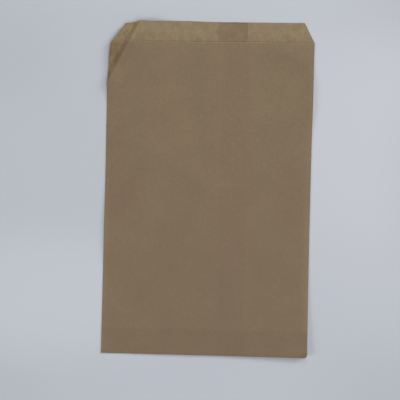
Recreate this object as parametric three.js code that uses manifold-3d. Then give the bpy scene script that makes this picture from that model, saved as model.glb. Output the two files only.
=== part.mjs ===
// A flat kraft paper bag, lying on its back with the mouth towards +Y and the front ply up.
// It is one sheet: a tube with a glued lap down the back, whose foot is folded over and glued.
// Plies that are glued to each other are one thickness here, and all others lie apart.
// Millimetres, +Z up. The origin is under the middle of the bag, on the surface that it lies on.

import * as THREE from 'three';
import { mergeVertices } from 'three/addons/utils/BufferGeometryUtils.js';
import Module from 'manifold-3d';

// The sheet and the tube
const paper = 0.1; // thickness of one ply
const bagWidth = 200; // from side fold to side fold
const frontLength = 304; // from the foot fold to the straight cut of the front ply
const foldSpace = 0.2; // clear space that a side fold keeps between the plies
const waist = 0.5; // how far each side is drawn in at half length

// The lip, which is the back ply standing past the front ply
const lipLength = 19;
const lipSlantLeft = 12.4; // width of the slanted corner on each side
const lipSlantRight = 10;
const slantStart = 0.4; // how far below the mouth the slant meets the side
const cutSkew = 1.5; // how far the knife's cuts are off square at a side: up at the right

// The lap on the back, where one edge of the sheet is glued over the other
const lapWidth = 32;
const lapCentre = 22; // off the middle, towards +X
const lapRun = 2; // length in which the upper ply comes down beside the edge

// The foot, folded over to the back and glued
const flapLength = 25;
const flapRun = 4; // length in which the back ply comes down past the edge of the flap

// The hollow form of the front ply
const crownHeight = 0.9; // rise of the front ply in the middle of the bag
const mouthHeight = 0.3; // its rise at the mouth
const footRun = 40; // length in which the rise builds up from the foot
const mouthRun = 70; // length in which it changes towards the mouth

// The corner at the left of the mouth, raised along a crease
const creaseAcross = 31.7; // where the crease meets the top edge, from the left side
const creaseDown = 61; // where it meets the left side, from the top edge
const riseAcross = 105; // where the sheet starts to rise, along the top edge
const riseDown = 85; // and along the left side
const ridgeTop = 6.5; // height of the crease at the top edge
const ridgeSide = 2.6; // and at the left side
const climb = 1.7; // power at which the sheet climbs to the crease: more starts flatter
const ridgeFall = 3.4; // how far the sheet drops past the crease, at the top edge
const ridgeFallRun = 6.5; // width of the steep strip past the crease
const tipRise = 1; // how far the outermost point turns up again
const tipDraw = 0.3; // share of its distance past the crease by which the top edge is drawn in

// The corner at the right of the foot, which curls off the surface
const curlAlong = 160; // reach of the curl along the foot
const curlUp = 104; // and up the right side
const curlHeight = 2.9;

// Side edges that stand a little off the surface
const edgeReach = 26; // how far in from the fold the sheet is raised
const leftEdge = { height: 0.9, middle: -38, half: 48 };
const rightEdge = { height: 1.5, middle: 86, half: 42 };

// Fineness of the faces
const lipSteps = 3; // along the lip
const creaseSteps = 6; // from the mouth to the lower end of the crease
const alongSteps = 14; // from there to the flap
const acrossSteps = 11; // from the upper end of the crease to the right side
const grading = 1.3; // the last two grow wider away from the crease
const foldFaces = 3; // faces in a quarter of a fold
const footTip = 0.2; // share of the foot fold's quarter turn that its flat tip takes
const cutLean = 0.05; // how far a cut edge of the sheet is off upright
const overrun = 5; // how far a cut goes past what it cuts

const mouthInside = paper + foldSpace; // height of the space at a side fold
const foldRadius = (mouthInside + 2 * paper) / 2;
const foldHeight = 2 * foldRadius;
const foldAxis = bagWidth / 2 - foldRadius;
const bagLength = frontLength + lipLength;
const footEdge = -bagLength / 2;
const topEdge = bagLength / 2;
const mouthEdge = footEdge + frontLength;
const flapEdge = footEdge + flapLength;
// One cut frees the lip of a bag and ends the foot of the next, so the back ply's
// own share of the flap is shorter than the front ply's by the length of the lip.
const innerFlapEdge = footEdge + Math.max(flapLength - lipLength, foldHeight * 2);
const lapLeft = lapCentre - lapWidth / 2;
const lapRight = lapCentre + lapWidth / 2;

// Across the crease, from it to the corner of the sheet that it cuts off
const creaseLength = Math.hypot(creaseAcross, creaseDown);
const tipDistance = creaseAcross * creaseDown / creaseLength;
// The skewed cut takes the right of the lip further than its middle, so the bag lies back by
// half of that and its box is centred on the origin.
const setBack = cutSkew * (1 - lipSlantRight / (bagWidth / 2)) / 2;

const clamp = THREE.MathUtils.clamp;
const smooth = (value) => THREE.MathUtils.smoothstep(value, 0, 1);
const blend = THREE.MathUtils.lerp;

// Height that plies folded in under the back ply give it, at a distance along the bag
function stackUnder(y) {
  const outerPly = paper * (1 - clamp((y - flapEdge) / flapRun, 0, 1));
  const innerPly = paper * (1 - clamp((y - innerFlapEdge) / flapRun, 0, 1));
  return outerPly + innerPly;
}

// Rise of the front ply over the back ply
function crown(x, y) {
  const across = 1 - Math.min(1, (x / foldAxis) ** 2);
  const fromFoot = 1 - (1 - clamp((y - footEdge) / footRun, 0, 1)) ** 2;
  const toMouth = smooth((y - (mouthEdge - mouthRun)) / mouthRun);
  return blend(crownHeight, mouthHeight, toMouth) * across * fromFoot;
}

// Height of the underside beside a cut edge, where the ply on top of that edge comes down
function underside(x, y) {
  if (y <= flapEdge) return 0;
  const besideFlap = 1 - (y - flapEdge) / flapRun;
  const besideLap = x > lapRight ? 1 - (x - lapRight) / lapRun : 0;
  return paper * Math.max(besideFlap, besideLap, 0);
}

// Height that the lap gives the inner face of the back ply
function lapRise(x) {
  const up = (x - lapLeft) / cutLean;
  const down = 1 - (x - lapRight) / lapRun;
  return paper * clamp(Math.min(up, down), 0, 1);
}

// How far a place is past the crease, as a share of the way to the corner, or less than none
function pastCreaseAt(x, y) {
  return 1 - Math.max(x + bagWidth / 2, 0) / creaseAcross - Math.max(topEdge - y, 0) / creaseDown;
}

// Height of the raised corner: the sheet climbs to the crease, then drops to a near level tip
function cornerLift(x, y) {
  const across = Math.max(x + bagWidth / 2, 0);
  const down = Math.max(topEdge - y, 0);
  const pastRise = 1 - across / riseAcross - down / riseDown;
  const pastCrease = pastCreaseAt(x, y);
  if (pastRise <= 0) return 0;
  const share = Math.max(blend(1, ridgeSide / ridgeTop, down / creaseDown), 0);
  if (pastCrease <= 0) return ridgeTop * share * (pastRise / (pastRise - pastCrease)) ** climb;
  const distance = pastCrease * tipDistance;
  const drop = ridgeFall * Math.min(distance / ridgeFallRun, 1);
  const turnUp = tipRise * Math.max((distance - ridgeFallRun) / (tipDistance - ridgeFallRun), 0);
  return (ridgeTop - drop + turnUp) * share;
}

// Height of the curled corner, bent round a line across it
function curlLift(x, y) {
  const inFromSide = Math.max(bagWidth / 2 - x, 0);
  const upFromFoot = Math.max(y - footEdge, 0);
  const share = Math.max(1 - inFromSide / curlAlong - upFromFoot / curlUp, 0);
  return curlHeight * share ** 2;
}

// Height of a side edge that stands off the surface
function edgeLift(distance, y, edge) {
  const inward = Math.max(1 - distance / edgeReach, 0) ** 2;
  const along = Math.max(1 - ((y - edge.middle) / edge.half) ** 2, 0) ** 2;
  return edge.height * inward * along;
}

function lift(x, y) {
  const sides = edgeLift(x + bagWidth / 2, y, leftEdge) + edgeLift(bagWidth / 2 - x, y, rightEdge);
  return cornerLift(x, y) + curlLift(x, y) + sides;
}

// Places of the grid lines across the bag and along it
function spread(from, to, steps, power) {
  const lines = [];
  for (let i = 0; i <= steps; i++) lines.push(from + (to - from) * (i / steps) ** power);
  return lines;
}

const flapLines = [
  innerFlapEdge, innerFlapEdge + flapRun, flapEdge, flapEdge + cutLean, flapEdge + flapRun,
].sort((a, b) => a - b);
const bodyLines = spread(topEdge - creaseDown, flapEdge + flapRun, alongSteps, grading).reverse().slice(1);
const creaseLines = spread(topEdge - creaseDown, mouthEdge, creaseSteps, 1).slice(1);
const lipLines = spread(mouthEdge, topEdge, lipSteps, 1).slice(1);
const sheetLines = [...flapLines, ...bodyLines, ...creaseLines, ...lipLines];

// Left of the crease's upper end each line across meets a line along on the crease itself
const creaseAt = (y) => creaseAcross * (1 - (topEdge - y) / creaseDown) - bagWidth / 2;
const frontLines = [
  -foldAxis,
  ...[...creaseLines, ...lipLines].map(creaseAt),
  ...spread(creaseAt(topEdge), foldAxis, acrossSteps, grading).slice(1),
];
const lapLines = [lapLeft, lapLeft + cutLean, lapRight, lapRight + cutLean, lapRight + lapRun];
const backLines = frontLines
  .filter((x) => lapLines.every((line) => Math.abs(x - line) > lapRun))
  .concat(lapLines)
  .sort((a, b) => a - b);

// The foot fold is round: lines that follow its quarter turn
const footRadius = (foldHeight + stackUnder(footEdge)) / 2;
const footTurns = spread(footTip, 1, foldFaces, 1)
  .map((turn) => footRadius * (1 - Math.cos(turn * Math.PI / 2)));
const footStart = footEdge - footTurns[0];
const footLines = footTurns.map((turn) => footStart + turn);

// Outlines are two rows of points from left to right, the lower one and the upper one.

// Outline across a flattened tube, at a distance inside the outer face of the sheet
function section(inset) {
  const quarter = (x, start) => new THREE.ArcCurve(
    x, foldRadius, foldRadius - inset, start, start + Math.PI / 2, false,
  ).getPoints(foldFaces);
  const lower = [
    ...quarter(-foldAxis, Math.PI).slice(0, -1),
    ...backLines.map((x) => new THREE.Vector2(x, inset)),
    ...quarter(foldAxis, -Math.PI / 2).slice(1),
  ];
  const upper = [
    ...quarter(-foldAxis, Math.PI / 2).slice(1, -1).reverse(),
    ...frontLines.map((x) => new THREE.Vector2(x, foldHeight - inset)),
    ...quarter(foldAxis, 0).slice(1, -1).reverse(),
  ];
  return { lower, upper };
}

// What stands over the lip before it is cut free: everything above the middle of the space
function overLipSection() {
  const floor = 2 * paper + foldSpace / 2;
  const roof = ridgeTop + curlHeight + crownHeight + overrun;
  const lines = [-bagWidth / 2 - overrun, ...backLines, bagWidth / 2 + overrun];
  return {
    lower: lines.map((x) => new THREE.Vector2(x, floor)),
    upper: lines.map((x) => new THREE.Vector2(x, roof)),
  };
}

// An outline carried along the bag through the given lines, then laid in the bag's form
function alongBag({ lower, upper }, lines, form) {
  const outline = [...lower, ...upper.reverse()];
  const steps = lines.length - 1;
  const geometry = new THREE.ExtrudeGeometry(new THREE.Shape(outline), {
    depth: steps, steps, bevelEnabled: false,
  });
  splitAlike(geometry);
  splitEnds(geometry, outline, lower.length, steps);
  geometry.rotateX(Math.PI / 2);
  geometry.translate(0, steps, 0);
  return settle(geometry, (x, y, z) => form(x, lines[Math.round(y)], z));
}

// Each four-sided patch of the walls is two faces. Where the outline runs to the right, this
// turns the edge that they share, so both plies are split the same way, along the crease.
function splitAlike(geometry) {
  const points = geometry.attributes.position;
  const corner = new THREE.Vector3();
  const copy = (from, to) => points.setXYZ(to, ...corner.fromBufferAttribute(points, from));
  const [, walls] = geometry.groups;
  for (let first = walls.start; first < walls.start + walls.count; first += 6) {
    if (points.getX(first) > points.getX(first + 1)) {
      copy(first + 4, first + 2);
      copy(first, first + 3);
    }
  }
}

// Splits the two end faces into upright strips, which stay sound when the bag is bent
function splitEnds(geometry, outline, lowerCount, steps) {
  const points = geometry.attributes.position;
  const last = outline.length - 1;
  let next = 0;
  for (const end of [0, steps]) {
    let low = 0;
    let high = last;
    while (low < lowerCount - 1 || high > lowerCount) {
      const stepLow = high === lowerCount
        || (low < lowerCount - 1 && outline[low + 1].x <= outline[high - 1].x);
      const face = stepLow ? [low, low + 1, high] : [low, high - 1, high];
      if (stepLow) low += 1;
      else high -= 1;
      if (end === 0) face.reverse();
      for (const corner of face) points.setXYZ(next++, outline[corner].x, outline[corner].y, end);
    }
  }
}

// Moves every point to its place. The sides are drawn in at the waist, the raised corner is
// drawn in towards its crease, and what lies nearer to the cuts is more off square.
function settle(geometry, form) {
  const points = geometry.attributes.position;
  for (let i = 0; i < points.count; i++) {
    const [x, y, z] = form(points.getX(i), points.getY(i), points.getZ(i));
    const along = clamp((y - footEdge) / bagLength, 0, 1);
    const across = x / (bagWidth / 2);
    const toWaist = waist * Math.sin(Math.PI * along) ** 2 * across;
    const upCrease = clamp(1 - (topEdge - y) / creaseDown, 0, 1);
    const pastCrease = Math.max(pastCreaseAt(x, y), 0) * tipDistance;
    const toCrease = tipDraw * pastCrease * upCrease ** 2;
    points.setXYZ(
      i,
      x - toWaist + toCrease * creaseDown / creaseLength,
      y - toCrease * creaseAcross / creaseLength + cutSkew * across * along - setBack,
      z,
    );
  }
  return geometry;
}

const wasm = await Module();
wasm.setup();

function toSolid(geometry) {
  geometry.deleteAttribute('normal');
  geometry.deleteAttribute('uv');
  const merged = mergeVertices(geometry);
  return new wasm.Manifold(new wasm.Mesh({
    numProp: 3,
    vertProperties: new Float32Array(merged.attributes.position.array),
    triVerts: new Uint32Array(merged.index.array),
  }));
}

// Whole tube, filled, with its round foot and the stack of plies under the foot
function filledTube() {
  const form = (x, y, z) => {
    const height = z + blend(underside(x, y), stackUnder(y), z / foldHeight);
    const middle = (foldHeight + stackUnder(y)) / 2;
    const fromFoot = clamp((y - footStart) / footRadius, 0, 1);
    const round = Math.sqrt(1 - (1 - fromFoot) ** 2);
    const onFront = z > foldRadius ? crown(x, y) : 0;
    return [x, y, lift(x, y) + onFront + middle + (height - middle) * round];
  };
  return toSolid(alongBag(section(0), [...footLines, ...sheetLines], form));
}

// Space between the front ply and the back ply, open past the top edge
function spaceInside() {
  const form = (x, y, z) => {
    const onPly = z > foldRadius ? crown(x, y) : lapRise(x);
    return [x, y, lift(x, y) + stackUnder(y) + onPly + z];
  };
  const start = footEdge + footRadius + paper;
  return toSolid(alongBag(section(paper), [start, ...sheetLines, topEdge + overrun], form));
}

function aboveLip() {
  const form = (x, y, z) => [x, y, lift(x, y) + z];
  return toSolid(alongBag(overLipSection(), [mouthEdge, ...lipLines, topEdge + overrun], form));
}

// Corner of the lip that is cut off at a slant, from the end of the mouth up
function lipCorner(side, slant) {
  const shape = new THREE.Shape();
  const start = mouthEdge - slantStart;
  const beyond = slant * overrun / (topEdge - start);
  const clear = bagWidth / 2 + overrun + slant;
  shape.moveTo(side * (bagWidth / 2 + beyond), start - overrun);
  shape.lineTo(side * bagWidth / 2, start);
  shape.lineTo(side * (bagWidth / 2 - slant), topEdge);
  shape.lineTo(side * (bagWidth / 2 - slant - beyond), topEdge + overrun);
  shape.lineTo(side * clear, topEdge + overrun);
  shape.lineTo(side * clear, start - overrun);
  const height = 2 * (ridgeTop + overrun);
  const geometry = new THREE.ExtrudeGeometry(shape, { depth: height, bevelEnabled: false });
  return toSolid(settle(geometry, (x, y, z) => [x, y, z - overrun]));
}

function paperBag() {
  const solid = filledTube()
    .subtract(spaceInside())
    .subtract(aboveLip())
    .subtract(lipCorner(-1, lipSlantLeft))
    .subtract(lipCorner(1, lipSlantRight));
  const { vertProperties, triVerts } = solid.getMesh();
  const geometry = new THREE.BufferGeometry();
  geometry.setAttribute('position', new THREE.BufferAttribute(vertProperties, 3));
  geometry.setIndex(new THREE.BufferAttribute(triVerts, 1));
  geometry.computeVertexNormals();
  const kraft = new THREE.MeshStandardMaterial({ color: '#7f6e59', roughness: 0.9, metalness: 0 });
  const mesh = new THREE.Mesh(geometry, kraft);
  mesh.name = 'paper_bag';
  return mesh;
}

const bag = new THREE.Group();
bag.add(paperBag());

export default bag;
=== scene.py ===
"""A flat kraft paper bag, folded and glued from one sheet, lying on its back on a pale surface.

The bag is made as the real one is. A flat blank is laid out, its ends are cut, and it is folded
round the two sides and under the foot. Then it takes the form in which it lies and its thickness.
Metres, with +Y along the bag to its mouth and +Z up.
"""

import math

import bmesh
import bpy
import numpy as np
from bpy.props import FloatProperty, FloatVectorProperty, IntProperty, PointerProperty
from mathutils import Euler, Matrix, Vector, noise


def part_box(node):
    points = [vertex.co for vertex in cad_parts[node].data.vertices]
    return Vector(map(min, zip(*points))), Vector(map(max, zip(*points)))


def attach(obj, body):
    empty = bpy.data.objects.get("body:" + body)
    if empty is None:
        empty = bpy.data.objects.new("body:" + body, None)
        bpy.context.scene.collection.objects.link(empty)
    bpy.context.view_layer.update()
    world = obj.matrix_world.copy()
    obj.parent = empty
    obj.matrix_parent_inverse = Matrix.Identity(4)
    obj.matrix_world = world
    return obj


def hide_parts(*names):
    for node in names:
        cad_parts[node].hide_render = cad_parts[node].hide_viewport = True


bl_info = {
    "name": "Flat Paper Bag",
    "version": (1, 0, 0),
    "blender": (4, 5, 0),
    "location": "View3D > Sidebar > Paper Bag",
    "description": "Folds a flat kraft paper bag from one sheet and lays it on a pale surface",
    "category": "Add Mesh",
}

# Soft lamps all round: share of the light, direction from +X towards +Y, and height in degrees
LAMPS = {
    "right_lamp": (0.20, 32, 20),
    "upper_right_lamp": (0.09, 45, 45),
    "mouth_lamp": (0.13, 90, 28),
    "left_lamp": (0.17, 200, 20),
    "overhead_lamp": (0.19, 315, 70),
    "foot_lamp": (0.13, 298, 45),
}

NODE = "paper_bag"
MM = 0.001
SMOOTH_ANGLE = math.radians(40)  # edges that turn by less are shaded smooth
FLOOR_GAP = 0.05 * MM  # how far the floor lies under the bag

# Attributes of the sheet: how much of the front's rise a place has, and where it is while level
HOLLOW = "hollow"
LEVEL_PLACE = "level_place"

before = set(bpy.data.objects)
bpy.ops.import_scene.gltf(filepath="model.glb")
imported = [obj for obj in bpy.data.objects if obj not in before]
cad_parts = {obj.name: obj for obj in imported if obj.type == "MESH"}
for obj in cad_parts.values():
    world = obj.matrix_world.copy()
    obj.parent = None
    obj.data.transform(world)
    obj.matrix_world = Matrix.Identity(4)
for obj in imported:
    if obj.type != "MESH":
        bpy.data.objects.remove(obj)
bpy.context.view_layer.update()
node_low, node_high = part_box(NODE)


def length(name, description, value, **more):
    """A size in metres, with its default given in millimetres."""
    return FloatProperty(
        name=name, description=description, default=value * MM, unit="LENGTH", precision=5, **more
    )


def amount(name, description, value, **more):
    return FloatProperty(name=name, description=description, default=value, precision=3, **more)


def colour(name, description, value):
    """A colour whose default is given as red, green and blue levels of a screen, 0 to 255."""
    return FloatVectorProperty(
        name=name, description=description, subtype="COLOR", size=3, min=0, max=1,
        default=[linear(level / 255) for level in value],
    )


def linear(level):
    return level / 12.92 if level <= 0.04045 else ((level + 0.055) / 1.055) ** 2.4


class SheetSizes(bpy.types.PropertyGroup):
    """Sizes of the sheet, its cuts and its folds."""

    width: length("Width", "From side fold to side fold", (node_high.x - node_low.x) / MM)
    front: length("Front", "From the foot fold to the straight cut of the front ply", 304)
    ply: length("Ply", "Thickness of the paper", 0.1)
    fold_space: length("Fold space", "Clear space that a side fold keeps between the plies", 0.2)
    waist: length("Waist", "How far each side is drawn in at half length", 0.5)
    lip: length("Lip", "How far the back ply stands past the front ply", 19)
    slant_left: length("Left slant", "Width of the slanted corner of the lip on the left", 12.4)
    slant_right: length("Right slant", "Width of the slanted corner of the lip on the right", 10)
    slant_start: length("Slant start", "How far below the mouth the slant meets the side", 0.4)
    cut_skew: length("Cut skew", "How far the cuts are off square at a side", 1.5)
    lap: length("Lap", "Width of the glued lap down the back", 32)
    lap_middle: length("Lap middle", "How far the lap is off the middle of the back", 22)
    lap_run: length("Lap run", "Length in which a ply comes down beside the lap", 2)
    flap: length("Flap", "Length of the foot that is folded over to the back", 25)
    flap_run: length("Flap run", "Length in which a ply comes down past the flap", 4)
    mesh: length("Mesh", "About how far apart the mesh lines are", 2.5)
    fold_faces: IntProperty(name="Fold faces", description="Faces round a fold", default=6)
    crease_lines: IntProperty(
        name="Crease lines", description="Lines that meet the crease", default=28
    )


class LyingForm(bpy.types.PropertyGroup):
    """How the bag lies: its hollow front, its raised corner, its curled foot and its edges."""

    crown: length("Crown", "Rise of the front ply in the middle of the bag", 0.9)
    mouth: length("Mouth", "Rise of the front ply at the mouth", 0.3)
    foot_run: length("Foot run", "Length in which the rise builds up from the foot", 40)
    mouth_run: length("Mouth run", "Length in which the rise changes towards the mouth", 70)
    crease_across: length("Crease across", "Where it meets the top edge, from the left", 31.7)
    crease_down: length("Crease down", "Where it meets the left side, from the top", 61)
    rise_across: length("Rise across", "Where the sheet starts to rise, along the top edge", 105)
    rise_down: length("Rise down", "Where the sheet starts to rise, down the left side", 85)
    ridge_top: length("Ridge top", "Height of the crease at the top edge", 6.5)
    ridge_side: length("Ridge side", "Height of the crease at the left side", 2.6)
    ridge_fall: length("Ridge fall", "How far the sheet drops past the crease", 3.4)
    ridge_fall_run: length("Ridge fall run", "Width of the steep strip past the crease", 6.5)
    tip_rise: length("Tip rise", "How far the outermost point turns up again", 1)
    tip_draw: amount("Tip draw", "Share by which the drop draws the corner in, at the top", 0.3)
    side_draw: length("Side draw", "How far the drop draws the left edge in, below the top", 1.25)
    climb: amount("Climb", "Power at which the sheet climbs to the crease", 1.7)
    curl_along: length("Curl along", "Reach of the curled corner along the foot", 160)
    curl_up: length("Curl up", "Reach of the curled corner up the right side", 104)
    curl: length("Curl", "Height of the curled corner", 2.9)
    blunt: length("Blunt corner", "Radius of the rubbed corner at the right of the foot", 3)
    edge_reach: length("Edge reach", "How far in from a side the sheet is raised", 26)
    left_edge: length("Left edge", "Height of the left side off the surface", 0.9)
    left_middle: length("Left middle", "Middle of that stretch, along the bag", -38)
    left_half: length("Left half", "Half the length of that stretch", 48)
    right_edge: length("Right edge", "Height of the right side off the surface", 1.5)
    right_middle: length("Right middle", "Middle of that stretch, along the bag", 86)
    right_half: length("Right half", "Half the length of that stretch", 42)
    foot_edge: length("Foot edge", "Lift of the foot's edge", 0.45)
    foot_middle: length("Foot middle", "Middle of that lift, across the bag", -32)
    foot_half: length("Foot half", "Half its length", 56)
    ripple: length("Ripple", "Height of the soft unevenness of the front ply", 0.16)
    ripple_size: length("Ripple size", "Size of that unevenness", 34)
    cut_wave: length("Cut wave", "How far a cut edge strays from straight", 0.22)
    cut_wave_size: length("Cut wave size", "Length of those waves", 9)
    lip_bow: length("Lip bow", "How far the lip's cut bows out", 0.7)
    lip_bow_middle: length("Lip bow middle", "Middle of the bow, across the bag", -28)
    lip_bow_reach: length("Lip bow reach", "Half the width of the bow", 34)


class KraftLook(bpy.types.PropertyGroup):
    """Colours and surface of the paper."""

    outside: colour("Outside", "Colour of the outer face of the sheet", (125.8, 107.3, 85.0))
    # The inner face is lighter and yellower than the outer: partly the paper's own unprinted
    # side, partly painted light that comes through the single ply of the lip from the pale floor
    inside: colour("Inside", "Colour of the inner face, seen on the lip", (139.6, 122.4, 95.2))
    roughness: amount("Roughness", "Roughness of the paper", 0.8, min=0, max=1)
    sheen: amount("Sheen", "How much the paper mirrors, from none to all", 0.3, min=0, max=1)
    cloud: amount("Cloud", "How far the cloudy look of the pulp goes up and down", 0.032)
    cloud_size: length("Cloud size", "Size of the larger clouds", 30)
    fibre: amount("Fibre", "How far the fine fibres go up and down", 0.048)
    fibre_width: length("Fibre width", "Across the fibres", 1.3)
    fibre_length: length("Fibre length", "Along the fibres, which run along the bag", 3)
    speck: amount("Speck", "How far the sparse loose fibres stand out", 0.28)
    loose_width: length("Loose width", "Across the loose fibres", 0.9)
    loose_length: length("Loose length", "Along the loose fibres", 2.6)
    hue: amount("Hue", "How far the hue goes up and down", 0.012)
    hue_size: length("Hue size", "Size of the patches of one hue", 12)
    lip_cloud: amount("Lip cloud", "How far the patches of the lip go up and down", 0.12)
    lip_cloud_size: length("Lip cloud size", "Size of those patches", 9)
    grain: length("Grain", "Depth of the grain of the surface", 0.05)
    grain_size: length("Grain size", "Size of that grain", 0.9)


class StageLook(bpy.types.PropertyGroup):
    """The surface that the bag lies on, the light and the camera."""

    floor: colour("Floor", "Colour of the surface", (190, 193.5, 201))
    floor_size: length("Floor size", "Side of the square surface", 3000)
    sky: amount("Sky", "Share of the light that comes evenly from above", 0.09, min=0, max=1)
    lamp_distance: length("Lamp distance", "From the bag to each lamp", 3000)
    lamp_size: length("Lamp size", "Side of each square lamp", 1000)
    camera_height: length("Camera height", "Height of the camera over the surface", 700)
    camera_across: length("Camera across", "Place of the camera along X", -5.65)
    camera_along: length("Camera along", "Place of the camera along Y", -3.55)
    tilt_x: amount("Tilt X", "Tilt of the camera about X, in degrees", -0.64)
    tilt_y: amount("Tilt Y", "Tilt of the camera about Y, in degrees", 0.15)
    roll: amount("Roll", "Turn of the camera about its own line of sight, in degrees", 1.386)
    focal: amount("Focal length", "Focal length, in sides of the picture", 1.804)


def smooth(value):
    value = np.clip(value, 0, 1)
    return value * value * (3 - 2 * value)


def blend(start, end, share):
    return start + (end - start) * share


def spread(start, end, spacing):
    """Places from start to end, both included, evenly and about spacing apart."""
    steps = max(1, round(abs(end - start) / spacing))
    return np.linspace(start, end, steps + 1)


def chain(*stretches):
    """Joins stretches of places whose ends meet, each shared end given once."""
    return np.concatenate([stretches[0], *[stretch[1:] for stretch in stretches[1:]]])


class Bag:
    """Sizes of one bag, and the form of its sheet. Lengths along the bag are from its middle."""

    def __init__(self, sizes, form):
        self.sizes, self.form = sizes, form
        self.half = sizes.width / 2
        self.fold_height = sizes.fold_space + 3 * sizes.ply
        self.fold_radius = (self.fold_height - sizes.ply) / 2
        self.fold_axis = self.half - self.fold_height / 2
        self.total = sizes.front + sizes.lip
        self.foot, self.top = -self.total / 2, self.total / 2
        self.mouth = self.foot + sizes.front
        self.flap_edge = self.foot + sizes.flap
        self.inner_flap_edge = self.foot + max(sizes.flap - sizes.lip, 2 * self.fold_height)
        self.lap_left = sizes.lap_middle - sizes.lap / 2
        self.lap_right = sizes.lap_middle + sizes.lap / 2
        self.foot_stack = 2 * sizes.ply
        self.foot_radius = (self.fold_height + self.foot_stack) / 2
        self.foot_bend = self.foot + self.foot_radius
        self.foot_turn = math.pi * (self.foot_radius - sizes.ply / 2)
        self.crease_length = math.hypot(form.crease_across, form.crease_down)
        self.tip_distance = form.crease_across * form.crease_down / self.crease_length
        self.set_back = sizes.cut_skew * (1 - sizes.slant_right / self.half) / 2
        self.lay_out()

    def lay_out(self):
        """Places of the blank's lines: across it from the outer edge of the lap, and along it."""
        form, sizes = self.form, self.sizes
        crease_low = self.top - form.crease_down
        share = (self.mouth - crease_low) / form.crease_down
        below = round(sizes.crease_lines * share)
        lines = chain(
            np.linspace(crease_low, self.mouth, below + 1),
            np.linspace(self.mouth, self.top, sizes.crease_lines - below + 1),
        )
        creased = self.crease_at(lines)
        creased[0] = -self.fold_axis
        turn = np.linspace(0, math.pi * self.fold_radius, sizes.fold_faces + 1)
        front = chain(creased, spread(creased[-1], self.fold_axis, sizes.mesh))
        back_left = chain(creased, spread(creased[-1], self.lap_right, sizes.mesh))[::-1]
        back_right = chain(
            spread(self.fold_axis, self.lap_right + sizes.lap_run, sizes.mesh),
            [self.lap_right + sizes.lap_run, self.lap_right],
            spread(self.lap_right, self.lap_left, sizes.mesh),
        )
        self.left_turn = self.lap_right + self.fold_axis
        self.front_start = self.left_turn + turn[-1]
        self.right_turn = self.front_start + 2 * self.fold_axis
        self.back_start = self.right_turn + turn[-1]
        self.across = chain(
            self.lap_right - back_left,
            self.left_turn + turn,
            self.front_start + self.fold_axis + front,
            self.right_turn + turn,
            self.back_start + self.fold_axis - back_right,
        )
        self.flap_turn = self.foot_bend - self.foot_turn
        flap_cut = self.flap_turn - (self.flap_edge - self.foot_bend)
        self.inner_cut = self.flap_turn - (self.inner_flap_edge - self.foot_bend)
        self.along = chain(
            spread(flap_cut, self.inner_cut, sizes.mesh),
            spread(self.inner_cut, self.flap_turn, sizes.mesh),
            np.linspace(self.flap_turn, self.foot_bend, sizes.fold_faces + 1),
            spread(self.foot_bend, self.inner_flap_edge, sizes.mesh),
            spread(self.inner_flap_edge, self.flap_edge, sizes.mesh),
            spread(self.flap_edge, crease_low, sizes.mesh),
            lines,
        )

    def crease_at(self, y):
        """Where the crease is across the bag."""
        form = self.form
        return form.crease_across * (1 - (self.top - y) / form.crease_down) - self.half

    def past_crease(self, x, y):
        """How far a place is past the crease, as a share of the way to the corner."""
        form = self.form
        across = np.maximum(x + self.half, 0) / form.crease_across
        return 1 - across - np.maximum(self.top - y, 0) / form.crease_down

    def stack_under(self, y):
        """Height that the plies folded in under the back ply give it."""
        outer, inner = (
            1 - np.clip((y - edge) / self.sizes.flap_run, 0, 1)
            for edge in (self.flap_edge, self.inner_flap_edge)
        )
        return self.sizes.ply * (outer + inner)

    def lap_rise(self, x):
        """Height of the ply that lies on the lap's other ply."""
        return self.sizes.ply * np.clip(1 - (x - self.lap_right) / self.sizes.lap_run, 0, 1)

    def crown(self, x, y):
        """Rise of the front ply over the hollow of the bag."""
        form = self.form
        across = 1 - np.minimum(1, (x / self.fold_axis) ** 2)
        from_foot = 1 - (1 - np.clip((y - self.foot) / form.foot_run, 0, 1)) ** 2
        to_mouth = smooth((y - self.mouth + form.mouth_run) / form.mouth_run)
        return blend(form.crown, form.mouth, to_mouth) * across * from_foot

    def corner_lift(self, x, y):
        """The sheet climbs to the crease, drops past it, and turns up a little at the tip."""
        form = self.form
        across = np.maximum(x + self.half, 0)
        down = np.maximum(self.top - y, 0)
        rising = np.maximum(1 - across / form.rise_across - down / form.rise_down, 0)
        past = self.past_crease(x, y)
        share = np.maximum(blend(1, form.ridge_side / form.ridge_top, down / form.crease_down), 0)
        before = np.minimum(past, 0)
        climbing = (rising / np.maximum(rising - before, MM * MM)) ** form.climb
        distance = np.maximum(past, 0) * self.tip_distance
        drop = form.ridge_fall * np.minimum(distance / form.ridge_fall_run, 1)
        turned = (distance - form.ridge_fall_run) / (self.tip_distance - form.ridge_fall_run)
        beyond = form.ridge_top - drop + form.tip_rise * np.maximum(turned, 0)
        return np.where(past > 0, beyond, form.ridge_top * climbing) * share

    def curl_lift(self, x, y):
        form = self.form
        along = np.maximum(self.half - x, 0) / form.curl_along
        up = np.maximum(y - self.foot, 0) / form.curl_up
        return form.curl * np.maximum(1 - along - up, 0) ** 2

    def edge_lift(self, distance, along, height, middle, half):
        """Lift of a stretch of an edge, at a distance in from the edge and a place along it."""
        inward = np.maximum(1 - distance / self.form.edge_reach, 0) ** 2
        return height * inward * np.maximum(1 - ((along - middle) / half) ** 2, 0) ** 2

    def lift(self, x, y):
        form, edge = self.form, self.edge_lift
        left = edge(self.half + x, y, form.left_edge, form.left_middle, form.left_half)
        right = edge(self.half - x, y, form.right_edge, form.right_middle, form.right_half)
        foot = edge(y - self.foot, x, form.foot_edge, form.foot_middle, form.foot_half)
        return self.corner_lift(x, y) + self.curl_lift(x, y) + left + right + foot

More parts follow.
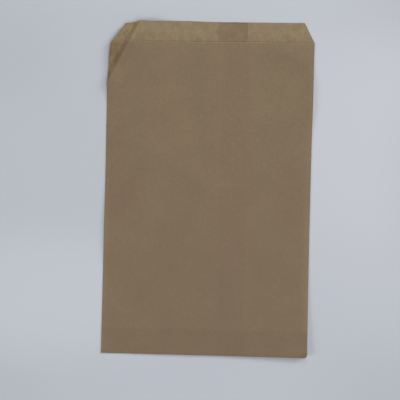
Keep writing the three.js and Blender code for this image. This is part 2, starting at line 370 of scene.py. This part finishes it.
    def fold(self, flat):
        """Folds places of the blank round the sides and under the foot, into a level bag.

        Gives the folded places, and how much of the front's rise each has.
        """
        across, along = flat[:, 0], flat[:, 1]
        radius, ply = self.fold_radius, self.sizes.ply
        turned = np.clip((across - self.left_turn) / radius, 0, math.pi)
        turned_back = np.clip((across - self.right_turn) / radius, 0, math.pi)
        on_left = self.lap_right - np.minimum(across, self.left_turn)
        on_front = np.clip(across - self.front_start, 0, 2 * self.fold_axis)
        on_right = np.maximum(across - self.back_start, 0)
        x = on_left - radius * np.sin(turned) + on_front + radius * np.sin(turned_back) - on_right
        level = ply / 2 + radius * (1 - np.cos(turned)) - radius * (1 - np.cos(turned_back))
        share = (level - ply / 2) / (2 * radius)
        under = across >= self.back_start
        raised = level + np.where(under, self.lap_rise(x), 0)
        y = np.maximum(along, self.foot_bend)
        body = raised + self.stack_under(y)
        folded_in = blend(self.foot_stack - ply / 2, ply / 2, share)
        turn = np.clip((self.foot_bend - along) / self.foot_turn, 0, 1) * math.pi
        middle, reach = (body + folded_in) / 2, (body - folded_in) / 2
        y = y + np.maximum(self.flap_turn - along, 0) - reach * np.sin(turn)
        z = middle + reach * np.cos(turn)
        return np.stack([x, y, z], 1), share * (along >= self.foot_bend)

    def settle(self, points, hollow):
        """Lays the folded bag in its form."""
        form = self.form
        x, y, z = points.T
        z = z + hollow * (self.crown(x, y) + self.ripples(x, y)) + self.lift(x, y)
        along = np.clip((y - self.foot) / self.total, 0, 1)
        across = x / self.half
        to_waist = self.sizes.waist * np.sin(math.pi * along) ** 2 * across
        to_top = np.clip(1 - (self.top - y) / form.crease_down, 0, 1)
        past = np.maximum(self.past_crease(x, y), 0) * self.tip_distance
        fallen = np.minimum(past / form.ridge_fall_run, 1)
        to_crease = blend(form.side_draw * fallen, form.tip_draw * past, to_top ** 2)
        x, y = self.rub_corner(x, y)
        x = x - to_waist + to_crease * form.crease_down / self.crease_length
        y = y - to_crease * form.crease_across / self.crease_length
        y = y + self.sizes.cut_skew * across * along - self.set_back
        return np.stack([x, y, z], 1)

    def rub_corner(self, x, y):
        """Rounds the right corner of the foot: a square patch there becomes a round one."""
        size = self.form.blunt
        right = np.clip((x - self.half) / size + 1, 0, 1)
        down = np.clip((self.foot - y) / size + 1, 0, 1)
        inward_x = right * (1 - np.sqrt(1 - down ** 2 / 2))
        inward_y = down * (1 - np.sqrt(1 - right ** 2 / 2))
        return x - inward_x * size, y + inward_y * size

    def ripples(self, x, y):
        """Soft unevenness of the front ply, none at the folds and the foot."""
        form = self.form
        size = form.ripple_size
        waves = [noise.noise(Vector((a / size, b / size, 0))) for a, b in zip(x, y)]
        inner = np.clip((self.half - np.abs(x)) / size, 0, 1)
        from_foot = np.clip((y - self.foot) / size, 0, 1)
        return form.ripple * np.array(waves) * inner * from_foot


def select_none():
    bpy.ops.object.select_all(action="DESELECT")


def in_edit_mode(piece, choose, *operations):
    """Selects the faces that choose picks, and runs the operations on them in edit mode."""
    bpy.context.view_layer.objects.active = piece
    bpy.ops.object.mode_set(mode="EDIT")
    bpy.ops.mesh.select_mode(type="FACE")
    mesh = bmesh.from_edit_mesh(piece.data)
    for face in mesh.faces:
        face.select_set(bool(choose(face.calc_center_median())))
    bmesh.update_edit_mesh(piece.data)
    for operation in operations:
        operation()
    bpy.ops.object.mode_set(mode="OBJECT")


def places(piece):
    points = np.empty(len(piece.data.vertices) * 3, np.float32)
    piece.data.vertices.foreach_get("co", points)
    return points.reshape(-1, 3).astype(float)


def move_to(piece, points):
    piece.data.vertices.foreach_set("co", points.astype(np.float32).ravel())
    piece.data.update()


def keep(piece, name, kind, key, values):
    """Keeps a value on each vertex, as an attribute of the piece."""
    attribute = piece.data.attributes.new(name, kind, "POINT")
    attribute.data.foreach_set(key, values.astype(np.float32).ravel())


def lay_blank(bag):
    """The flat blank: a grid whose lines lie where the sheet is folded, cut and creased."""
    select_none()
    columns, rows = len(bag.across), len(bag.along)
    bpy.ops.mesh.primitive_grid_add(
        x_subdivisions=columns - 1, y_subdivisions=rows - 1, size=1, calc_uvs=False
    )
    blank = bpy.context.object
    blank.name = blank.data.name = "kraft_bag"
    grid = np.stack([*np.meshgrid(bag.across, bag.along), np.zeros((rows, columns))], 2)
    move_to(blank, grid.reshape(-1, 3))
    return blank


def cut_ends(blank, bag):
    """Cuts the front ply off at the mouth, and the back ply's own share off at the flap's end."""
    middle = bag.sizes.fold_space
    on_front = (bag.left_turn + middle, bag.back_start - middle)

    def past_the_cut(centre):
        front = on_front[0] < centre.x < on_front[1]
        return centre.y > bag.mouth if front else centre.y < bag.inner_cut

    in_edit_mode(blank, past_the_cut, lambda: bpy.ops.mesh.delete(type="FACE"))


def slant_lip(piece, bag, side, slant):
    """Cuts a corner of the lip off at a slant, through whatever lies there."""
    start = bag.mouth - bag.sizes.slant_start
    rise = bag.top - start
    normal = Vector((side * rise, slant, 0)).normalized()
    point = Vector((side * bag.half, start, 0))
    inner = bag.half - slant - bag.sizes.mesh
    in_edit_mode(
        piece,
        lambda centre: centre.x * side > inner and centre.y > start - rise,
        lambda: bpy.ops.mesh.bisect(plane_co=point, plane_no=normal, clear_outer=True),
    )


def stray(piece, bag, hollow):
    """Lets the cut edges at the mouth and the lip stray a little from straight."""
    form = bag.form
    points = places(piece)
    for i, (x, y, z) in enumerate(points):
        cut = bag.mouth if hollow[i] > 0 else bag.top
        near = 1 - (cut - y) / form.cut_wave_size
        if near > 0:
            wave = noise.noise(Vector((x / form.cut_wave_size, cut / form.cut_wave_size, 0)))
            off = form.cut_wave * wave
            if cut == bag.top:
                from_middle = (x - form.lip_bow_middle) / form.lip_bow_reach
                off += form.lip_bow * max(1 - from_middle ** 2, 0)
            points[i, 1] += off * near
    move_to(piece, points)


class PAPERBAG_OT_fold(bpy.types.Operator):
    """Folds the bag from its flat blank and gives it its form, its thickness and its paper"""

    bl_idname = "paperbag.fold"
    bl_label = "Fold Bag"

    def execute(self, context):
        scene = context.scene
        bag = Bag(scene.bag_sizes, scene.bag_form)
        piece = lay_blank(bag)
        cut_ends(piece, bag)
        points, hollow = bag.fold(places(piece))
        keep(piece, HOLLOW, "FLOAT", "value", hollow)
        move_to(piece, points)
        slant_lip(piece, bag, -1, bag.sizes.slant_left)
        slant_lip(piece, bag, 1, bag.sizes.slant_right)
        hollow = np.empty(len(piece.data.vertices), np.float32)
        piece.data.attributes[HOLLOW].data.foreach_get("value", hollow)
        stray(piece, bag, hollow)
        points = places(piece)
        keep(piece, LEVEL_PLACE, "FLOAT_VECTOR", "vector", points)
        move_to(piece, bag.settle(points, hollow))
        piece.data.attributes.remove(piece.data.attributes[HOLLOW])
        thicken(piece, bag)
        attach(piece, "root")
        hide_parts(NODE)
        return {"FINISHED"}


def thicken(piece, bag):
    """Gives the sheet its thickness, half to each side, and each of its faces its paper."""
    look = bpy.context.scene.kraft_look
    piece.data.materials.append(paper("kraft_outside", look.outside, look, bag, outer_features))
    piece.data.materials.append(paper("kraft_inside", look.inside, look, bag, inner_features))
    select_none()
    piece.select_set(True)
    bpy.context.view_layer.objects.active = piece
    solidify = piece.modifiers.new("ply", "SOLIDIFY")
    solidify.thickness = bag.sizes.ply
    solidify.offset = 0
    solidify.material_offset = 1
    solidify.material_offset_rim = 1
    bpy.ops.object.modifier_apply(modifier=solidify.name)
    bpy.ops.object.shade_smooth_by_angle(angle=SMOOTH_ANGLE)


class Paint:
    """Builds a paper's nodes. Each method adds some and gives back the socket of their result."""

    def __init__(self, name):
        self.material = bpy.data.materials.new(name)
        self.material.use_nodes = True
        self.nodes, self.links = self.material.node_tree.nodes, self.material.node_tree.links
        self.shader = self.nodes["Principled BSDF"]
        self.place = self.add("ShaderNodeTexCoord").outputs["Object"]
        level = self.add("ShaderNodeAttribute", attribute_name=LEVEL_PLACE).outputs["Vector"]
        parts = self.add("ShaderNodeSeparateXYZ", {0: level})
        self.x, self.y, self.z = (parts.outputs[axis] for axis in "XYZ")

    def add(self, kind, inputs=None, **settings):
        node = self.nodes.new(kind)
        for name, value in settings.items():
            setattr(node, name, value)
        for name, value in (inputs or {}).items():
            self.put(node.inputs[name], value)
        return node

    def put(self, socket, value):
        if isinstance(value, bpy.types.NodeSocket):
            self.links.new(value, socket)
        else:
            socket.default_value = value

    def math(self, operation, *values):
        return self.add("ShaderNodeMath", dict(enumerate(values)), operation=operation).outputs[0]

    def both(self, share, other):
        return self.math("MULTIPLY", share, other)

    def plain(self, colour):
        node = self.add("ShaderNodeRGB")
        node.outputs[0].default_value = (*colour, 1)
        return node.outputs[0]

    def ramp(self, value, start, end, low=0, high=1):
        """From low to high while value goes from start to end, softly."""
        inputs = {"Value": value, 1: start, 2: end, 3: low, 4: high}
        return self.add("ShaderNodeMapRange", inputs, interpolation_type="SMOOTHSTEP").outputs[0]

    def between(self, value, start, end, soft):
        """1 from start to end and 0 beyond, with soft limits."""
        rising = self.ramp(value, start - soft, start + soft)
        return self.both(rising, self.ramp(value, end + soft, end - soft))

    def noise(self, size, detail=2.0, seed=0.0, turn=0.0):
        """Noise of a size. turn is how far its long side is turned from the bag's."""
        inputs = {"Vector": self.place, "Scale": size, "Rotation": (0, 0, math.radians(turn))}
        scaled = self.add("ShaderNodeMapping", inputs, vector_type="TEXTURE").outputs[0]
        inputs = {"Vector": scaled, "W": seed, "Scale": 1.0, "Detail": detail}
        return self.add("ShaderNodeTexNoise", inputs, noise_dimensions="4D").outputs[0]

    def tint(self, colour, share, factors):
        """The colour times the factors, as far as share says."""
        inputs = {0: share, 6: colour, 7: (*factors, 1)}
        mixed = self.add("ShaderNodeMix", inputs, data_type="RGBA", blend_type="MULTIPLY")
        mixed.clamp_factor = True
        return mixed.outputs[2]

    def brighten(self, colour, factor):
        """The colour times a level that a socket gives."""
        vector = self.add("ShaderNodeVectorMath", {0: colour, "Scale": factor}, operation="SCALE")
        return vector.outputs[0]


# Loose fibres: how far each kind is turned from the bag's length, and how light or dark it is
LOOSE_FIBRES = ((8, 1), (-48, 1), (62, 0.8), (-12, -0.8), (50, -0.7))


def paper(name, level, look, bag, features):
    """Kraft paper of one colour. features adds what this face of the sheet shows."""
    paint = Paint(name)
    now = paint.plain(level)
    pulp = paint.noise([look.cloud_size] * 3, detail=4.0)
    now = paint.brighten(now, paint.ramp(pulp, 0.25, 0.75, 1 - look.cloud, 1 + look.cloud))
    fibres = paint.noise([look.fibre_width, look.fibre_length, look.fibre_width], seed=3.0)
    now = paint.brighten(now, paint.ramp(fibres, 0.2, 0.8, 1 - look.fibre, 1 + look.fibre))
    plenty = paint.ramp(paint.y, -bag.mouth / 3, bag.mouth / 2, 0.55, 1)
    size = (look.loose_width, look.loose_length, look.loose_width)
    for seed, (turn, change) in enumerate(LOOSE_FIBRES):
        sparse = paint.noise(size, detail=1.0, seed=7.0 + seed, turn=turn)
        loose = paint.ramp(sparse, 0.67, 0.74, 0, change * look.speck)
        now = paint.brighten(now, paint.math("ADD", 1.0, paint.both(plenty, loose)))
    hue = paint.noise([look.hue_size] * 3, seed=13.0)
    now = paint.tint(now, hue, (1 - look.hue, 1 + look.hue, 1 - look.hue))
    now = features(paint, bag, now)
    paint.put(paint.shader.inputs["Base Color"], now)
    paint.shader.inputs["Roughness"].default_value = look.roughness
    paint.shader.inputs["Specular IOR Level"].default_value = look.sheen
    relief = paint.noise([look.grain_size] * 3, detail=3.0, seed=11.0)
    inputs = {"Height": relief, "Distance": look.grain, "Strength": 1.0}
    paint.put(paint.shader.inputs["Normal"], paint.add("ShaderNodeBump", inputs).outputs[0])
    return paint.material


# Faint stains of the outer face, and two patches of painted light marked below: middle and reach
# in millimetres, and what they do to the colour
STAINS_AND_PAINTED_LIGHT = (
    ((-86, -2), (19, 36), (0.975, 0.955, 0.985)),
    ((82, -8), (24, 36), (0.975, 0.962, 0.99)),
    ((-24, -38), (26, 58), (0.985, 1.005, 0.995)),
    ((76, 122), (18, 14), (0.955, 0.96, 0.96)),
    ((-92, 52), (14, 30), (0.985, 0.985, 0.965)),
    ((-38, 62), (30, 42), (1.025, 1.025, 1.02)),
    ((66, 92), (36, 30), (1.005, 1.008, 0.996)),
    ((22, 4), (17, 2.2), (1.05, 1.05, 1.05)),
    ((76, -136), (34, 26), (0.98, 0.98, 0.985)),
    ((22, -112), (105, 72), (0.972, 0.972, 0.974)),
    ((-6, 105), (76, 66), (1.016, 1.015, 1.014)),
    ((86, 135), (17, 11), (1.06, 1.06, 1.05)),
    # Painted highlight beside the lower end of the crease
    ((-90, 108), (7, 11), (1.07, 1.08, 1.05)),
    # Painted shade at the curled right corner of the foot
    ((100, -162), (9, 6), (0.9, 0.89, 0.88)),
)

# Faint stains of the inner face, at the lip, in the same way
LIP_STAINS = (
    ((50, 150), (16, 10), (0.965, 0.957, 0.975)),
    ((0, 147), (9, 5), (0.967, 0.967, 0.972)),
    ((-65, 150), (11, 8), (0.962, 0.962, 0.967)),
)

# Painted light and shade on the floor: where it is lighter or darker, in the same way
PAINTED_FLOOR_LIGHT = (
    ((150, 45), (140, 140), (1.095, 1.09, 1.07)),
    ((-140, -106), (150, 62), (1.09, 1.09, 1.09)),
    ((-10, 195), (170, 28), (1.035, 1.035, 1.035)),
    ((-195, 125), (50, 55), (0.955, 0.955, 0.955)),
    ((200, 20), (34, 90), (0.97, 0.97, 0.97)),
    ((205, 205), (90, 60), (0.93, 0.93, 0.93)),
    ((205, -205), (100, 60), (0.93, 0.93, 0.93)),
    ((-205, -205), (70, 30), (0.96, 0.96, 0.96)),
)


# How far in and how far out a patch's soft rim ends, added up, in shares of its reach
RIM_TOTAL = 1.7


def patched(paint, now, patches, rim=0.55):
    """Soft oval patches, whose inner share rim is at full strength."""
    for (x, y), (across, along), factors in patches:
        inputs = {
            "Vector": paint.place,
            "Location": (-x / across, -y / along, 0),
            "Scale": (1 / (across * MM), 1 / (along * MM), 0),
        }
        inside = paint.add("ShaderNodeMapping", inputs).outputs[0]
        reach = paint.add("ShaderNodeVectorMath", {0: inside}, operation="LENGTH")
        now = paint.tint(now, paint.ramp(reach.outputs["Value"], RIM_TOTAL - rim, rim), factors)
    return now


def past_crease(paint, bag):
    """Distance past the crease, towards the corner, as a socket."""
    form = bag.form
    across = paint.both(paint.math("ADD", paint.x, bag.half), 1 / form.crease_across)
    down = paint.both(paint.math("SUBTRACT", bag.top, paint.y), 1 / form.crease_down)
    share = paint.math("SUBTRACT", 1.0, paint.math("ADD", across, down))
    return paint.both(share, bag.tip_distance)


def paint_corner_light(paint, bag, now, ridge_highlight, corner_shade, strip):
    """Paints light and shade on the raised corner: a painted highlight along the crease, painted
    shade on the corner past it with its own painted tone on the steep strip, a painted highlight
    where the sheet turns up again, and random stains past the crease.
    """
    distance = past_crease(paint, bag)
    # Painted highlight along the crease, painted shade on the corner past it, and a further
    # painted tone on the steep strip beside the crease
    for first, last, soft, factors in (
        (-2.6, -0.3, 0.5, ridge_highlight),
        (0.5, 30, 0.6, corner_shade),
        (1, 7, 1, strip),
    ):
        share = paint.between(distance, first * MM, last * MM, soft * MM)
        now = paint.tint(now, share, factors)
    # Painted highlight along a wandering line where the sheet turns up again past the steep strip
    wander = paint.ramp(paint.noise([9 * MM] * 3, seed=9.0), 0.3, 0.7, -1.6 * MM, 1.6 * MM)
    wandering = paint.math("ADD", distance, wander)
    streak_highlight = paint.between(wandering, 7.6 * MM, 9.8 * MM, 0.9 * MM)
    now = paint.tint(now, streak_highlight, (1.17, 1.18, 1.2))
    stains = paint.ramp(paint.noise([5 * MM] * 3, seed=5.0), 0.35, 0.65, 0.9, 1.1)
    inputs = {0: paint.ramp(distance, 1 * MM, 3 * MM), 6: now, 7: paint.brighten(now, stains)}
    return paint.add("ShaderNodeMix", inputs, data_type="RGBA").outputs[2]


def outer_features(paint, bag, now):
    """Painted show-through shade of the lap and the flap behind, stains, lighter strips along the
    lower sides, a painted highlight along the cut of the mouth, and the painted light of the
    raised corner.
    """
    now = patched(paint, now, STAINS_AND_PAINTED_LIGHT)
    # Painted show-through shade: darker where the lap lies behind, as less light comes through
    # the plies
    lap = paint.between(paint.x, bag.lap_left + 6 * MM, bag.lap_right, 2 * MM)
    now = paint.tint(now, lap, (0.983, 0.971, 1.002))
    # Painted show-through shade: darker below the edge of the flap folded behind
    flap_line = (bag.flap_edge - 1 * MM, bag.flap_edge + 1 * MM)
    now = paint.tint(now, paint.ramp(paint.y, *reversed(flap_line)), (0.96, 0.95, 0.96))
    above_flap = paint.ramp(paint.y, *flap_line)
    lower = paint.both(paint.ramp(paint.y, bag.mouth, bag.flap_edge, 0.3, 1), above_flap)
    right = paint.both(paint.ramp(paint.x, bag.half - 9 * MM, bag.half), lower)
    now = paint.tint(now, right, (1.1, 1.12, 1.15))
    lowest = paint.ramp(paint.y, bag.mouth / 3, -bag.mouth / 6)
    left = paint.both(paint.ramp(paint.x, 6 * MM - bag.half, -bag.half), lowest)
    now = paint.tint(now, left, (1.08, 1.09, 1.11))
    on_front = paint.ramp(paint.z, bag.fold_height / 2, bag.fold_height * 0.7)
    near = paint.both(paint.ramp(paint.y, bag.mouth - 8 * MM, bag.mouth), on_front)
    now = paint.tint(now, near, (1.04, 1.04, 1.03))
    # Painted highlight along the cut edge of the front ply at the mouth, broken by noise
    cut = paint.ramp(paint.y, bag.mouth - 1.2 * MM, bag.mouth - 0.5 * MM)
    broken = paint.ramp(paint.noise([2.2 * MM] * 3, seed=17.0), 0.4, 0.6, 0.45, 1)
    now = paint.tint(now, paint.both(paint.both(cut, on_front), broken), (1.27, 1.27, 1.23))
    # Painted light of the raised corner: a faint painted highlight on the crease, painted shade
    # on the corner past it, and more painted shade on its steep strip
    corner_shade, strip = (0.9, 0.86, 0.78), (0.945, 0.935, 0.915)
    return paint_corner_light(paint, bag, now, (1.03, 1.03, 1.03), corner_shade, strip)


def inner_features(paint, bag, now):
    """The lip: painted shade towards the mouth and beside the cut, painted show-through shade on
    the lap, whose two plies let less light through than the single ply, so it is about as dark as
    the outside, and the painted light of the raised corner.
    """
    now = patched(paint, now, LIP_STAINS)
    lap_start = paint.ramp(paint.x, bag.lap_left - 1 * MM, bag.lap_left + 2.4 * MM)
    stuck = paint.ramp(paint.x, bag.lap_right - 2.2 * MM, bag.lap_right - 3.6 * MM)
    lap = paint.both(lap_start, stuck)
    single = paint.math("SUBTRACT", 1.0, lap)
    # Painted shade: the single ply of the lip darker towards the mouth, where the front ply
    # stands over it
    to_mouth = paint.ramp(paint.y, bag.mouth + 11 * MM, bag.mouth)
    now = paint.tint(now, paint.both(to_mouth, single), (0.92, 0.92, 0.93))
    # Painted shade in a thin line beside the cut of the front ply
    beside_cut = paint.ramp(paint.y, bag.mouth + 1.3 * MM, bag.mouth)
    now = paint.tint(now, beside_cut, (0.96, 0.95, 0.94))
    to_edge = paint.ramp(paint.y, bag.top - 3.5 * MM, bag.top)
    to_right = paint.ramp(paint.x, bag.lap_right, bag.lap_right + 25 * MM)
    now = paint.tint(now, paint.both(to_edge, to_right), (1.1, 1.09, 1.06))
    # Painted show-through shade: the lap's two plies let less light through from the floor than
    # the lip's single ply
    now = paint.tint(now, lap, (0.829, 0.783, 0.81))
    lap_end = paint.ramp(paint.x, bag.lap_right - 11 * MM, bag.lap_right - 7 * MM)
    now = paint.tint(now, paint.both(lap, lap_end), (0.947, 0.964, 0.95))
    # Darker along the top edge over the lap
    turned = paint.ramp(paint.y, bag.top - 1.8 * MM, bag.top - 0.2 * MM)
    now = paint.tint(now, paint.both(turned, lap), (0.84, 0.83, 0.82))
    look = bpy.context.scene.kraft_look
    patches = paint.noise([look.lip_cloud_size] * 3, detail=3.0, seed=21.0)
    clouds = paint.ramp(patches, 0.25, 0.75, 1 - look.lip_cloud, 1 + look.lip_cloud)
    now = paint.brighten(now, clouds)
    # Painted light of the raised corner on the lip: a painted highlight on the crease, painted
    # shade on the corner past it, lighter and yellower on its steep strip
    corner_shade, strip = (0.94, 0.915, 0.87), (1.05, 1.02, 0.97)
    return paint_corner_light(paint, bag, now, (1.07, 1.07, 1.07), corner_shade, strip)


class PAPERBAG_OT_stage(bpy.types.Operator):
    """Sets up the camera, the light and the pale surface that the bag lies on"""

    bl_idname = "paperbag.stage"
    bl_label = "Set Stage"

    def execute(self, context):
        look = context.scene.stage_look
        place_camera(look)
        lay_floor(look)
        light(look)
        context.scene.view_settings.view_transform = "Standard"
        return {"FINISHED"}


def place_camera(look):
    place = (look.camera_across, look.camera_along, look.camera_height)
    bpy.ops.object.camera_add(location=place)
    camera = bpy.context.object
    camera.name = "camera"
    turn = Euler((math.radians(look.tilt_x), 0, 0)).to_matrix()
    turn = Euler((0, math.radians(look.tilt_y), 0)).to_matrix() @ turn
    turn = Euler((0, 0, math.radians(look.roll))).to_matrix() @ turn
    camera.rotation_euler = turn.to_euler()
    camera.data.lens = camera.data.sensor_width * look.focal
    camera.data.clip_end = look.floor_size * 2
    bpy.context.scene.camera = camera


def lay_floor(look):
    select_none()
    bpy.ops.mesh.primitive_grid_add(
        x_subdivisions=8, y_subdivisions=8, size=look.floor_size, location=(0, 0, -FLOOR_GAP)
    )
    floor = bpy.context.object
    floor.name = "floor"
    paint = Paint("pale_surface")
    patches = patched(paint, paint.plain(look.floor), PAINTED_FLOOR_LIGHT, rim=0.25)
    paint.put(paint.shader.inputs["Base Color"], patches)
    paint.shader.inputs["Roughness"].default_value = 0.9
    paint.shader.inputs["Specular IOR Level"].default_value = 0
    floor.data.materials.append(paint.material)


def light(look):
    """An even sky, and the soft lamps. Their strengths are shares of the light on the floor."""
    world = bpy.data.worlds.new("sky")
    bpy.context.scene.world = world
    world.use_nodes = True
    nodes, links = world.node_tree.nodes, world.node_tree.links
    sky = nodes["Background"]
    sky.inputs["Color"].default_value = (1, 1, 1, 1)
    sky.inputs["Strength"].default_value = look.sky
    backdrop = nodes.new("ShaderNodeBackground")
    backdrop.inputs["Color"].default_value = (*look.floor, 1)
    seen = nodes.new("ShaderNodeLightPath")
    mix = nodes.new("ShaderNodeMixShader")
    links.new(seen.outputs["Is Camera Ray"], mix.inputs["Fac"])
    links.new(sky.outputs[0], mix.inputs[1])
    links.new(backdrop.outputs[0], mix.inputs[2])
    links.new(mix.outputs[0], nodes["World Output"].inputs["Surface"])
    for name, (share, turn, rise) in LAMPS.items():
        turn, rise = math.radians(turn), math.radians(rise)
        level = Vector((math.cos(turn), math.sin(turn), 0)) * math.cos(rise)
        towards = level + Vector((0, 0, math.sin(rise)))
        bpy.ops.object.light_add(type="AREA", location=towards * look.lamp_distance)
        lamp = bpy.context.object
        lamp.name = name
        lamp.data.size = look.lamp_size
        lamp.rotation_euler = towards.to_track_quat("Z", "Y").to_euler()
        lamp.data.energy = share * (math.pi * look.lamp_distance) ** 2 / math.sin(rise)


class PAPERBAG_PT_sidebar(bpy.types.Panel):
    """Sizes and colours of the bag and its stage"""

    bl_idname = "PAPERBAG_PT_sidebar"
    bl_label = "Flat Paper Bag"
    bl_space_type = "VIEW_3D"
    bl_region_type = "UI"
    bl_category = "Paper Bag"

    def draw(self, context):
        for operator, group in (
            (PAPERBAG_OT_fold, context.scene.bag_sizes),
            (None, context.scene.bag_form),
            (None, context.scene.kraft_look),
            (PAPERBAG_OT_stage, context.scene.stage_look),
        ):
            box = self.layout.box()
            if operator:
                box.operator(operator.bl_idname)
            for name in group.bl_rna.properties.keys():
                if name not in ("rna_type", "name"):
                    box.prop(group, name)


CLASSES = (
    SheetSizes, LyingForm, KraftLook, StageLook,
    PAPERBAG_OT_fold, PAPERBAG_OT_stage, PAPERBAG_PT_sidebar,
)
GROUPS = {
    "bag_sizes": SheetSizes,
    "bag_form": LyingForm,
    "kraft_look": KraftLook,
    "stage_look": StageLook,
}


def register():
    for item in CLASSES:
        bpy.utils.register_class(item)
    for name, group in GROUPS.items():
        setattr(bpy.types.Scene, name, PointerProperty(type=group))


def unregister():
    for name in GROUPS:
        delattr(bpy.types.Scene, name)
    for item in reversed(CLASSES):
        bpy.utils.unregister_class(item)


def main():
    register()
    bpy.ops.paperbag.stage()
    bpy.ops.paperbag.fold()


if __name__ == "__main__":
    main()
